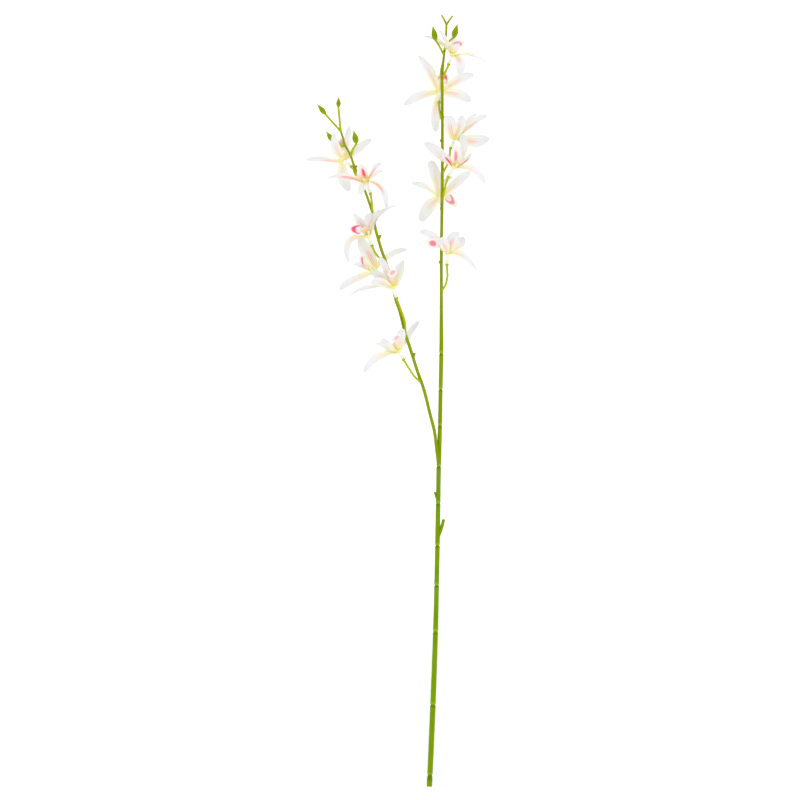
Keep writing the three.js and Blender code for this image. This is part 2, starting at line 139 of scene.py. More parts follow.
# %% Blends, patterns and relief
def ramp(tree, factor, stops):
    node = add(tree, "ShaderNodeValToRGB", {"Fac": factor})
    bar = node.color_ramp
    bar.elements[0].position, bar.elements[0].color = stops[0][0], hue(stops[0][1])
    bar.elements[1].position, bar.elements[1].color = stops[-1][0], hue(stops[-1][1])
    for position, colour in stops[1:-1]:
        bar.elements.new(position).color = hue(colour)
    return node.outputs["Color"]


def blended(tree, factor, first, second):
    node = add(tree, "ShaderNodeMix", {"Factor": factor}, data_type="RGBA")
    for socket, value in ((node.inputs["A"], first), (node.inputs["B"], second)):
        if isinstance(value, str):
            socket.default_value = hue(value)
        else:
            tree.links.new(value, socket)
    return node.outputs["Result"]


def attribute(tree, name):
    return add(tree, "ShaderNodeAttribute", attribute_name=name).outputs["Fac"]


def own_place(tree):
    return add(tree, "ShaderNodeTexCoord").outputs["Object"]


def cloud(tree, vector, scale, detail=2.0):
    inputs = {"Vector": vector, "Scale": scale, "Detail": detail}
    return add(tree, "ShaderNodeTexNoise", inputs).outputs[0]


def pressed(tree, height, strength, distance):
    inputs = {"Height": height, "Strength": strength, "Distance": distance}
    return add(tree, "ShaderNodeBump", inputs).outputs[0]


# %% [markdown]
# ## Green moulded polythene
#
# The stalk is soft plastic, moulded in a bright yellow green that grows more olive and then
# more yellow up the stem. That change reads the object's own Y. The mould leaves a faint
# lengthwise grain. Each ring joint has a painted highlight band above a painted shade band.
# The bands come from an attribute that the mesh carries, so they sit exactly on the joints.

# %% Green moulded polythene
PLASTIC_IOR = 1.5
CHANGE_FROM = 0.25
CHANGE_TO = 0.8
MOTTLE_SCALE = 45.0
MOTTLE_STRENGTH = 0.3
GRAIN_SCALE = (900, 60, 900)
GRAIN_DEPTH = 0.0003


def green_polythene(name, low, high, top, shade_colour, pale):
    material, tree, skin = new_material(name)
    spot = own_place(tree)
    axes = add(tree, "ShaderNodeSeparateXYZ", {"Vector": spot})
    upward = spread(tree, axes.outputs["Y"], CHANGE_FROM, CHANGE_TO)
    body = ramp(tree, upward, [(0.0, low), (0.67, high), (0.92, high), (1.0, top)])
    mottled = spread(tree, cloud(tree, spot, MOTTLE_SCALE), 0.35, 0.7)
    worn = blended(tree, times(tree, mottled, MOTTLE_STRENGTH), body, shade_colour)
    # The band attribute paints light and shade. Above nought it mixes in the pale colour, below
    # nought the shade colour. On the stalk it holds the painted light above each ring joint and
    # the painted shade below it.
    band = attribute(tree, "band")
    lit = blended(tree, maths(tree, "MAXIMUM", band, 0.0), worn, pale)
    deep = maths(tree, "MAXIMUM", times(tree, band, -1.0), 0.0)
    stretched = add(tree, "ShaderNodeMapping", {"Vector": spot, "Scale": GRAIN_SCALE})
    grain = cloud(tree, stretched.outputs[0], 1.0, 3.0)
    look = {
        "Base Color": blended(tree, deep, lit, shade_colour),
        "Roughness": spread(tree, grain, 0.0, 1.0, 0.38, 0.58),
        "Normal": pressed(tree, grain, 0.25, GRAIN_DEPTH),
        "IOR": PLASTIC_IOR,
        "Specular IOR Level": 0.05,
    }
    fill(tree, skin, look)
    return material


# Each green is given low down, high up and at the very top, then as its shade and its light.
STALK_GREEN = green_polythene(
    "green_moulded_polythene", "#7D9F00", "#949C00", "#AAAE00", "#567600", "#AFC224"
)
BRANCH_GREEN = green_polythene(
    "olive_green_polythene", "#88A200", "#9AA200", "#AAAE00", "#5E7A00", "#B4C424"
)
TWIG_GREEN = green_polythene(
    "pale_green_polythene", "#B6C006", "#B6C006", "#B6C006", "#8EA004", "#CFD84A"
)
BUD_GREEN = green_polythene(
    "bud_green_polythene", "#98AC00", "#98AC00", "#98AC00", "#637C00", "#B6C622"
)
print("greens made:", STALK_GREEN.name, BRANCH_GREEN.name, TWIG_GREEN.name, BUD_GREEN.name)

# %% [markdown]
# ## Pale plastic
#
# The tube under each bloom is moulded in a near white plastic, and the column in its middle in
# a cream one. Both are deeper in colour towards their foot. An attribute says how far up them
# a point lies.

# %% Pale plastic
GRIT_SCALE = 900.0


def pale_plastic(name, foot, head):
    material, tree, skin = new_material(name)
    colour = ramp(tree, attribute(tree, "along"), [(0.0, foot), (0.75, head)])
    rough = spread(tree, cloud(tree, own_place(tree), GRIT_SCALE), 0.0, 1.0, 0.42, 0.6)
    fill(tree, skin, {"Base Color": colour, "Roughness": rough, "IOR": PLASTIC_IOR})
    return material


TUBE_PLASTIC = pale_plastic("pale_green_white_plastic", "#E9EFC4", "#F8F9F2")
COLUMN_PLASTIC = pale_plastic("cream_plastic", "#EDEBA6", "#F6F0CE")
print("pale plastics made:", TUBE_PLASTIC.name, COLUMN_PLASTIC.name)

# %% [markdown]
# ## Printed cloth
#
# The petals are stiffened polyester cloth. They are white with a yellow foot and pink streaks
# beside the midrib, and hot tools press fine veins into them. Two attributes say where a point
# is on its blade: across runs from minus one to one, and along from the foot to the tip. A
# third says how strong the petal's streaks are. Because the print follows the blade, it bends
# and twists with it. The cloth's thread is about 0.15 mm, too fine to show, so the weave is
# drawn at 0.6 mm.

# %% Veins, weave and streaks
VEINS = 8.0
VEIN_WANDER = 3.0
WEAVE_MM = 0.6
STREAK_GAP = 0.29
STREAK_WANDER = 3.5
PRESS_DEPTH = 0.0004


def vein_height(tree, across, along):
    flat = add(tree, "ShaderNodeCombineXYZ", {"X": across, "Y": along})
    wander = times(tree, cloud(tree, flat.outputs[0], 5.0), VEIN_WANDER)
    return maths(tree, "SINE", plus(tree, times(tree, across, VEINS * math.pi), wander))


def weave_height(tree):
    scale = 2 * math.pi / (WEAVE_MM / 1000)
    axes = add(tree, "ShaderNodeSeparateXYZ", {"Vector": own_place(tree)})
    warp = maths(tree, "SINE", times(tree, axes.outputs["X"], scale))
    weft = maths(tree, "SINE", times(tree, axes.outputs["Y"], scale))
    return times(tree, warp, weft)


def thin_streaks(tree, across):
    """Fine lines down a blade, which waver a little."""
    wander = times(tree, cloud(tree, own_place(tree), 180.0, 1.0), STREAK_WANDER)
    phase = plus(tree, times(tree, across, 2 * math.pi / STREAK_GAP), wander)
    return fade(tree, maths(tree, "COSINE", phase), 0.3, 0.98)


def midrib(tree, across, along, sides, foot, tip):
    """One in a strip down the middle of a blade, fading out at its sides, foot and tip."""
    side = maths(tree, "ABSOLUTE", across)
    return times(tree, fade(tree, side, *sides), fade(tree, along, *foot), fade(tree, along, *tip))


# %% Petal cloth
CLOTH_IOR = 1.4

# Where along the petal a wash of colour starts, where it is full, its strength and its colour.
# The first is painted shade, blue grey towards the tip. The other three are the yellow print at
# the foot.
PETAL_WASHES = (
    (0.6, 1.0, 0.75, "#E1E5E9"),
    (0.62, 0.12, 0.85, "#F9F9C6"),
    (0.22, 0.06, 0.7, "#FFF5BE"),
    (0.12, 0.03, 0.7, "#FFF584"),
)


def petal_streaks(tree, across, along, ground):
    """A pink blush, fine lines in it and, on the boldest petals, a bar down the middle."""
    streak = attribute(tree, "streak")
    band = midrib(tree, across, along, (0.6, 0.12), (0.03, 0.12), (0.78, 0.3))
    blush = blended(tree, times(tree, band, streak, 0.4), ground, "#FFC6C4")
    ink = blended(tree, fade(tree, along, 0.12, 0.45), "#FFA585", "#FA90A6")
    ink = blended(tree, fade(tree, streak, 0.8, 1.4, 0.0, 0.75), ink, "#F95478")
    lines = times(tree, thin_streaks(tree, across), band, streak, 1.4)
    lined = blended(tree, maths(tree, "MINIMUM", lines, 1.0), blush, ink)
    bar = midrib(tree, across, along, (0.36, 0.18), (0.08, 0.18), (0.8, 0.5))
    bold = fade(tree, streak, 1.2, 2.0, 0.0, 0.95)
    return blended(tree, times(tree, bar, bold), lined, "#FF3A6E")


def petal_cloth():
    material, tree, skin = new_material("printed_polyester_petal")
    across, along = attribute(tree, "across"), attribute(tree, "along")
    veins = vein_height(tree, across, along)
    ground = blended(tree, fade(tree, veins, -0.2, 1.0, 0.0, 0.5), "#F0F0F0", "#E6E7E6")
    for start, full, strength, wash in PETAL_WASHES:
        ground = blended(tree, fade(tree, along, start, full, 0.0, strength), ground, wash)
    relief = plus(tree, times(tree, veins, 0.6), times(tree, weave_height(tree), 0.2))
    look = {
        "Base Color": petal_streaks(tree, across, along, ground),
        "Roughness": 0.85,
        "Normal": pressed(tree, relief, 0.3, PRESS_DEPTH),
        "Subsurface Weight": 0.3,
        "Subsurface Radius": (1.0, 0.95, 0.85),
        "Subsurface Scale": 0.002,
        "Sheen Weight": 0.1,
        "IOR": CLOTH_IOR,
    }
    fill(tree, skin, look)
    return material


PETAL_CLOTH = petal_cloth()
print("cloth made:", PETAL_CLOTH.name)

# %% [markdown]
# ## Lip cloth
#
# The lip is cut from the same cloth, with a yellow throat and magenta on it. Many lips carry it
# as a crescent inside a pale rim or as a spot near the tip, and two as a tongue down the middle.
# One attribute for each of the three says how strong it is, and a fourth says how deep the
# throat's colour is.


# %% Masks for the lip's three prints
def oval(tree, across, along, middle, wide, long):
    """Distance from a middle on the lip, one at the edge of an oval."""
    climb = times(tree, plus(tree, along, -middle), 1 / long)
    flat = {"X": times(tree, across, 1 / wide), "Y": climb}
    vector = add(tree, "ShaderNodeCombineXYZ", flat).outputs[0]
    return add(tree, "ShaderNodeVectorMath", {0: vector}, operation="LENGTH").outputs["Value"]


def lip_print(tree, across, along):
    reach = oval(tree, across, along, 0.52, 1.1, 0.47)
    ring = times(tree, fade(tree, reach, 0.5, 0.62), fade(tree, reach, 0.86, 0.74))
    crescent = times(tree, ring, fade(tree, along, 0.54, 0.68), attribute(tree, "rim"))
    blot = fade(tree, oval(tree, across, along, 0.8, 0.54, 0.11), 1.15, 0.7)
    strip = fade(tree, oval(tree, across, along, 0.54, 0.36, 0.32), 1.15, 0.45)
    prints = plus(tree, crescent, times(tree, blot, attribute(tree, "spot")))
    return plus(tree, prints, times(tree, strip, attribute(tree, "tongue")))


# %% Lip cloth
INK_SCALE = 420.0


def lip_throat(tree, across, along, pale):
    """Orange and yellow towards the claw, with fine red lines."""
    deep = attribute(tree, "throat")
    orange = times(tree, fade(tree, along, 0.66, 0.25, 0.0, 0.8), deep)
    throat = blended(tree, orange, pale, "#FBE3AE")
    throat = blended(tree, fade(tree, along, 0.3, 0.02), throat, "#FBE57A")
    strip = midrib(tree, across, along, (0.6, 0.2), (0.1, 0.3), (0.75, 0.5))
    red = times(tree, thin_streaks(tree, across), strip, deep, 0.55)
    return blended(tree, red, throat, "#F4825E")


def lip_cloth():
    material, tree, skin = new_material("printed_polyester_lip")
    across, along = attribute(tree, "across"), attribute(tree, "along")
    veins = vein_height(tree, across, along)
    pale = blended(tree, fade(tree, veins, -0.2, 1.0, 0.0, 0.5), "#FBF8F6", "#F4ECEC")
    throat = lip_throat(tree, across, along, pale)
    worn = fade(tree, cloud(tree, own_place(tree), INK_SCALE), 0.3, 0.65, 0.86, 1.0)
    magenta = blended(tree, fade(tree, along, 0.25, 0.6), "#FF4A48", "#FF527C")
    prints = times(tree, lip_print(tree, across, along), worn)
    look = {
        "Base Color": blended(tree, prints, throat, magenta),
        "Roughness": 0.8,
        "Normal": pressed(tree, veins, 0.3, PRESS_DEPTH),
        "Sheen Weight": 0.1,
        "IOR": CLOTH_IOR,
    }
    fill(tree, skin, look)
    return material


LIP_CLOTH = lip_cloth()
print("cloth made:", LIP_CLOTH.name)

# %% [markdown]
# ## Turning a bmesh into a piece
#
# Every piece ends the same way: its mesh becomes an object at the origin, shaded smooth with
# its sharp edges kept, riding on the stem and standing in for its plain solid.


# %% Finish a piece
def finish_piece(name, bm, material, node, sharp=50):
    mesh = bpy.data.meshes.new(name)
    bm.to_mesh(mesh)
    bm.free()
    mesh.materials.append(material)
    mesh.shade_smooth()
    mesh.set_sharp_from_angle(angle=math.radians(sharp))
    piece = bpy.data.objects.new(name, mesh)
    bpy.context.scene.collection.objects.link(piece)
    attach(piece, "root")
    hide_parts(node)
    print(name, "has", len(mesh.polygons), "faces")


# %% [markdown]
# ## Rods
#
# Stalks, pedicels, buds and tubes are all rods of changing thickness. A ring of points is
# extruded from station to station, and each new ring is turned square to the way ahead. That
# gives full control of each joint, where a curve with a bevel would round them all alike.

# %% Rings at stations
LAYER_NAMES = ("band", "along", "across", "streak", "rim", "spot", "tongue", "throat")
NEARLY_UPRIGHT = 0.95


def layers_of(bm):
    floats = bm.verts.layers.float
    return {name: floats.get(name) or floats.new(name) for name in LAYER_NAMES}


def ring_frame(stations, i):
    before = stations[max(i - 1, 0)]["at"]
    after = stations[min(i + 1, len(stations) - 1)]["at"]
    ahead = (after - before).normalized()
    guide = Vector((0, 0, 1)) if abs(ahead.z) < NEARLY_UPRIGHT else Vector((0, 1, 0))
    side = ahead.cross(guide).normalized()
    return side, side.cross(ahead)


def set_ring(bm, ring, stations, i):
    layers = layers_of(bm)
    side, over = ring_frame(stations, i)
    here = stations[i]
    for k, vert in enumerate(ring):
        angle = 2 * math.pi * k / len(ring)
        reach = side * math.cos(angle) + over * math.sin(angle)
        vert.co = here["at"] + reach * here["radius"]
        vert.co.z = max(vert.co.z, 0.0)
        vert[layers["band"]] = here.get("band", 0.0)
        vert[layers["along"]] = here.get("along", i / (len(stations) - 1))


# %% A rod through stations
def partner(vert, fresh):
    for edge in vert.link_edges:
        other = edge.other_vert(vert)
        if other in fresh:
            return other
    raise ValueError("a ring lost its partner")


def next_ring(bm, ring, edges):
    grown = bmesh.ops.extrude_edge_only(bm, edges=edges)["geom"]
    fresh = {g for g in grown if isinstance(g, bmesh.types.BMVert)}
    edges = [g for g in grown if isinstance(g, bmesh.types.BMEdge) and set(g.verts) <= fresh]
    return [partner(vert, fresh) for vert in ring], edges


def faces_at(verts):
    """The faces that meet some vertices, each of them once and always in the same order."""
    return list(dict.fromkeys(face for vert in verts for face in vert.link_faces))


def rod(bm, stations, sides):
    """Lofts a closed rod and gives back its two end faces, the first station's one first."""
    layers_of(bm)
    ring = list(bmesh.ops.create_circle(bm, segments=sides, radius=1.0)["verts"])
    set_ring(bm, ring, stations, 0)
    circle, made = set(ring), list(ring)
    first_edges = [e for e in bm.edges if set(e.verts) <= circle]
    edges = first_edges
    for i in range(1, len(stations)):
        ring, edges = next_ring(bm, ring, edges)
        set_ring(bm, ring, stations, i)
        made += ring
    caps = bmesh.ops.edgeloop_fill(bm, edges=first_edges)["faces"]
    caps += bmesh.ops.edgeloop_fill(bm, edges=edges)["faces"]
    bmesh.ops.recalc_face_normals(bm, faces=faces_at(made))
    return caps


# %% [markdown]
# ## The stalk and the side branch
#
# Both are listed as stations down their middles, from the lower end up. A smooth curve runs
# through them, and a ring joint is a narrow neck between two faint collars, with painted light
# above the neck and painted shade below it. The lowest length lies flat on the table. A thin rod
# against a bright table looks thinner than it is, so every rod is made a touch fuller than it is
# listed.

# %% Centrelines: across and down in drawing units, height in millimetres, radius in units
LIE = 2.86
FULLER = 0.12

STALK = [
    (429.4, 787.5, LIE, 2.6),
    (430, 775.3, LIE, 2.6, "ring"),
    (433, 705.6, LIE, 2.6, "ring"),
    (435.6, 632.7, 5.2, 2.4, "ring"),
    (436.7, 585.8, 8.2, 2.3, "ring"),
    (437.5, 545.7, 11.4, 2.25, "ring"),
    (438.2, 503.7, 15.2, 2.2, "ring"),
    (438.8, 466.4, 19, 2.2, "ring"),
    (440, 425.6, 23, 2, "ring"),
    (440.6, 389.5, 26.4, 1.95, "ring"),
    (441.3, 353.5, 29.6, 2, "ring"),
    (441.3, 320, 32.4, 1.7),
    (441.3, 289, 34.4, 1.5),
    (441.3, 250, 35.8, 1.45),
    (441.9, 210, 36, 1.45),
    (442.3, 160, 36, 1.4),
    (442.2, 100, 36, 1.35),
    (441.9, 78, 36, 1.4),
    (441.9, 71, 36, 1.75),
    (443.2, 62, 36, 1.2),
    (444.5, 50.5, 36, 1.1),
    (446, 36, 36, 1),
    (446.4, 24, 36, 1),
]

BRANCH = [
    (438.4, 467, 19.6, 1.2),
    (436.8, 451, 22.6, 1.5),
    (434.5, 432, 25.2, 1.5),
    (430, 414, 27.2, 1.5),
    (424, 390, 29.6, 1.5),
    (417, 370, 31.6, 1.5),
    (410, 348, 33.6, 1.5),
    (405, 333, 34.8, 1.5),
    (400, 312, 35.6, 1.5),
    (395.5, 299, 36, 1.4),
    (388.5, 270, 36, 1.4),
    (381.5, 250, 36, 1.38),
    (375.5, 229, 36, 1.35),
    (373, 215, 36, 1.3),
    (367.5, 198, 36, 1.15),
    (361.5, 182, 36, 1.15),
    (355, 168, 36, 1.1),
    (350, 154.5, 36, 1.05),
    (345, 145.5, 36, 1),
    (343, 138, 36, 1),
    (340.5, 130.5, 36, 0.95),
]


# %% A smooth line through the stations
def eased(values, i, t):
    """A value between entries i and i + 1, on a smooth curve through all the entries."""
    before, first, second = values[max(i - 1, 0)], values[i], values[i + 1]
    after = values[min(i + 2, len(values) - 1)]
    slope = (second - before) * t
    bend = (2 * before - 5 * first + 4 * second - after) * t * t
    twist = (3 * first - before - 3 * second + after) * t**3
    return 0.5 * (2 * first + slope + bend + twist)


def station_at(spot, radius, travelled):
    return {"at": place(spot), "radius": (radius + FULLER) * UNIT, "travelled": travelled}


def smooth_line(line, step):
    """Stations about step drawing units apart, and how far up the line each ring joint lies."""
    columns = [[entry[k] for entry in line] for k in range(4)]
    stations, joints = [], []
    travelled = 0.0
    for i in range(len(line) - 1):
        if "ring" in line[i]:
            joints.append(travelled)
        length = math.hypot(line[i + 1][0] - line[i][0], line[i + 1][1] - line[i][1])
        parts = max(2, round(length / step))
        for k in range(parts):
            across, down, height, radius = (eased(column, i, k / parts) for column in columns)
            spot = (across, down, max(height, LIE))
            stations.append(station_at(spot, radius, travelled + length * k / parts))
        travelled += length
    stations.append(station_at(line[-1][:3], line[-1][3], travelled))
    return stations, joints


# %% Ring joints, measured in drawing units from the middle of a joint
JOINT_REACH = 6
NECK_DEPTH = 0.2
NECK_WIDTH = 0.9
COLLAR_RISE = 0.05
COLLAR_AWAY = 2.0
COLLAR_WIDTH = 0.9
# The painted light band above each joint and the painted shade band below it, by strength, place
# and width.
PAINTED_LIGHT = {"strength": 0.6, "above": 1.6, "width": 1.1}
PAINTED_SHADE = {"strength": 0.9, "above": -1.1, "width": 1.0}


def bell(x, width):
    """One where x is nothing, falling off smoothly to both sides."""
    return math.exp(-((x / width) ** 2))


def band_at(away, band):
    return band["strength"] * bell(away - band["above"], band["width"])


def shape_joints(stations, joints):
    for station in stations:
        for joint in joints:
            away = station["travelled"] - joint
            if abs(away) > JOINT_REACH:
                continue
            neck = NECK_DEPTH * bell(away, NECK_WIDTH)
            collars = COLLAR_RISE * bell(abs(away) - COLLAR_AWAY, COLLAR_WIDTH)
            station["radius"] *= 1 - neck + collars
            # Painted light above the neck, less the painted shade below it.
            shade = band_at(away, PAINTED_LIGHT) - band_at(away, PAINTED_SHADE)
            station["band"] = station.get("band", 0.0) + shade


# %% The stalk, uneven above its lowest length
STALK_SIDES = 20
STALK_STEP = 1.0
FIRST_UNEVEN = 91
LUMPS_PER_METRE = 60
LUMP_SHARE = 0.03
CUT_RIM = 0.0006
CUT_DEPTH = 0.0003

stalk_stations, stalk_joints = smooth_line(STALK, STALK_STEP)
shape_joints(stalk_stations, stalk_joints)
for station in stalk_stations[FIRST_UNEVEN:]:
    station["radius"] *= 1 + noise(station["at"] * LUMPS_PER_METRE) * LUMP_SHARE

bm = bmesh.new()
caps = rod(bm, stalk_stations, STALK_SIDES)
bmesh.ops.inset_individual(bm, faces=caps[:1], thickness=CUT_RIM, depth=-CUT_DEPTH)
finish_piece("stalk", bm, STALK_GREEN, "stem")

# %% The side branch
BRANCH_SIDES = 16
BRANCH_STEP = 1.5

bm = bmesh.new()
rod(bm, smooth_line(BRANCH, BRANCH_STEP)[0], BRANCH_SIDES)
finish_piece("side_branch", bm, BRANCH_GREEN, "stem")

# %% [markdown]
# ## Stubs, scars and bare prongs
#
# Where blooms were never fitted, the moulding shows short stubs and small scars, and the stalk
# ends in two bare prongs. They are short tapered rods whose roots are sunk in what bears them.

# %% Stubs, scars and prongs
TWIG_SIDES = 12
TWIG_STEP = 0.8

TWIGS = [
    [(446.4, 25, 36, 1), (443.9, 19.5, 36.4, 0.85), (441.3, 15.3, 36.8, 0.7)],
    [(446.4, 25, 36, 1), (449.8, 20, 36.4, 0.85), (452.7, 16, 36.8, 0.7)],
    [(438.6, 503, 15.2, 1.2), (436.2, 496.5, 16.6, 1.1), (434.6, 492, 17.2, 0.8)],
    [(438.2, 537, 12.2, 1.6), (441.4, 528.5, 13, 1.6), (443.9, 519.5, 13.8, 1.4)],
    [(442.2, 119.6, 36, 1.1), (443.7, 116.6, 36.6, 0.7)],
    [(442.3, 143.2, 36, 1.2), (440.2, 139.8, 36.6, 0.8)],
    [(441.3, 264.4, 35.4, 1.3), (439.2, 261.2, 36, 0.9)],
    [(413.4, 357, 32.8, 1.3), (414.8, 353, 33.4, 0.9)],
    [(378.8, 238.8, 36, 1.4), (380.6, 235.2, 36.6, 1)],
    [(355, 168.5, 36, 1.4), (356.9, 165.8, 36.6, 0.9)],
]

bm = bmesh.new()
for twig in TWIGS:
    rod(bm, smooth_line(twig, TWIG_STEP)[0], TWIG_SIDES)
finish_piece("stubs_and_prongs", bm, STALK_GREEN, "stem")

# %% [markdown]
# ## Buds
#
# Each bud is moulded as an egg that is drawn out to a point. It is one more rod, only with an
# egg's profile, and it starts where its own thin pedicel ends.

# %% Buds: the way of the pedicel, the tip and the radius
BUDS = [
    ([(443.4, 54.5, 36), (439, 46.5, 46.5), (435.5, 41.5, 52)], (432.5, 26.5, 54), 3),
    ([(444.6, 50.5, 36), (449.3, 42, 45), (453.5, 38.5, 50)], (457.5, 24.5, 53), 3),
    ([(340.8, 131.5, 36), (332, 122, 37), (325.7, 114.7, 38)], (317, 104, 39), 2.5),
    ([(340.7, 131.5, 36), (339.5, 118, 37), (338.5, 107.5, 38)], (338.7, 97, 39), 2.3),
    ([(344.6, 146.5, 36), (338, 145, 34), (333, 141.5, 34)], (326, 131.3, 35), 2.6),
    ([(350.8, 156.5, 36), (353.2, 149.5, 38), (356.5, 144, 40)], (353.7, 130.3, 42), 3.1),
]

# How far up a bud each share of its full radius is reached.
BUD_PROFILE = [(0.0, 0.34), (0.1, 0.74), (0.32, 1.0), (0.58, 0.78), (0.82, 0.34), (1.0, 0.07)]
BUD_STEPS = 24
BUD_SIDES = 16

# A bud is light from here up to its tip, and dark around its waist.
LIGHT_FROM = 0.72
WAIST = 0.4
WAIST_WIDTH = 0.2


def bud_share(t):
    """Egg shaped below, drawn out to a fine point above."""
    shares = [share for _, share in BUD_PROFILE]
    for i in range(len(BUD_PROFILE) - 1):
        low, high = BUD_PROFILE[i][0], BUD_PROFILE[i + 1][0]
        if t <= high:
            return max(0.05, eased(shares, i, (t - low) / (high - low)))
    return shares[-1]


def bud_stations(base, tip, radius):
    stations = []
    for k in range(BUD_STEPS + 1):
        t = k / BUD_STEPS
        shade = 0.9 * max(0.0, t - LIGHT_FROM) / (1 - LIGHT_FROM)
        shade -= 0.35 * bell(t - WAIST, WAIST_WIDTH)
        thick = radius * UNIT * bud_share(t)
        stations.append({"at": base.lerp(tip, t), "radius": thick, "band": shade})
    return stations


bm = bmesh.new()
for way, tip, radius in BUDS:
    rod(bm, bud_stations(place(way[-1]), place(tip), radius), BUD_SIDES)
finish_piece("buds", bm, BUD_GREEN, "stem")

# %% [markdown]
# ## The blooms, as a table
#
# Each bloom has a way for its pedicel, from its foot to its end, and a face, which is the
# middle of the bloom. A petal is given by its tip, its full width and the width that shows from
# above. Where it bends it also has a place halfway. Its streak says how strong its pink is,
# and a pointed petal narrows to its tip. A lip has a tip and a width too, the strength of its
# rim, spot and tongue of magenta, and the depth of its throat's colour. A hooded lip has the
# plain outline of a petal.


# %% Petals and lips
class Petal(NamedTuple):
    tip: tuple
    width: float
    shown: float
    half: tuple | None = None
    streak: float = 0.4
    pointed: bool = False


class Lip(NamedTuple):
    tip: tuple
    width: float
    rim: float = 0.0
    spot: float = 0.0
    tongue: float = 0.0
    throat: float = 1.0
    hooded: bool = False


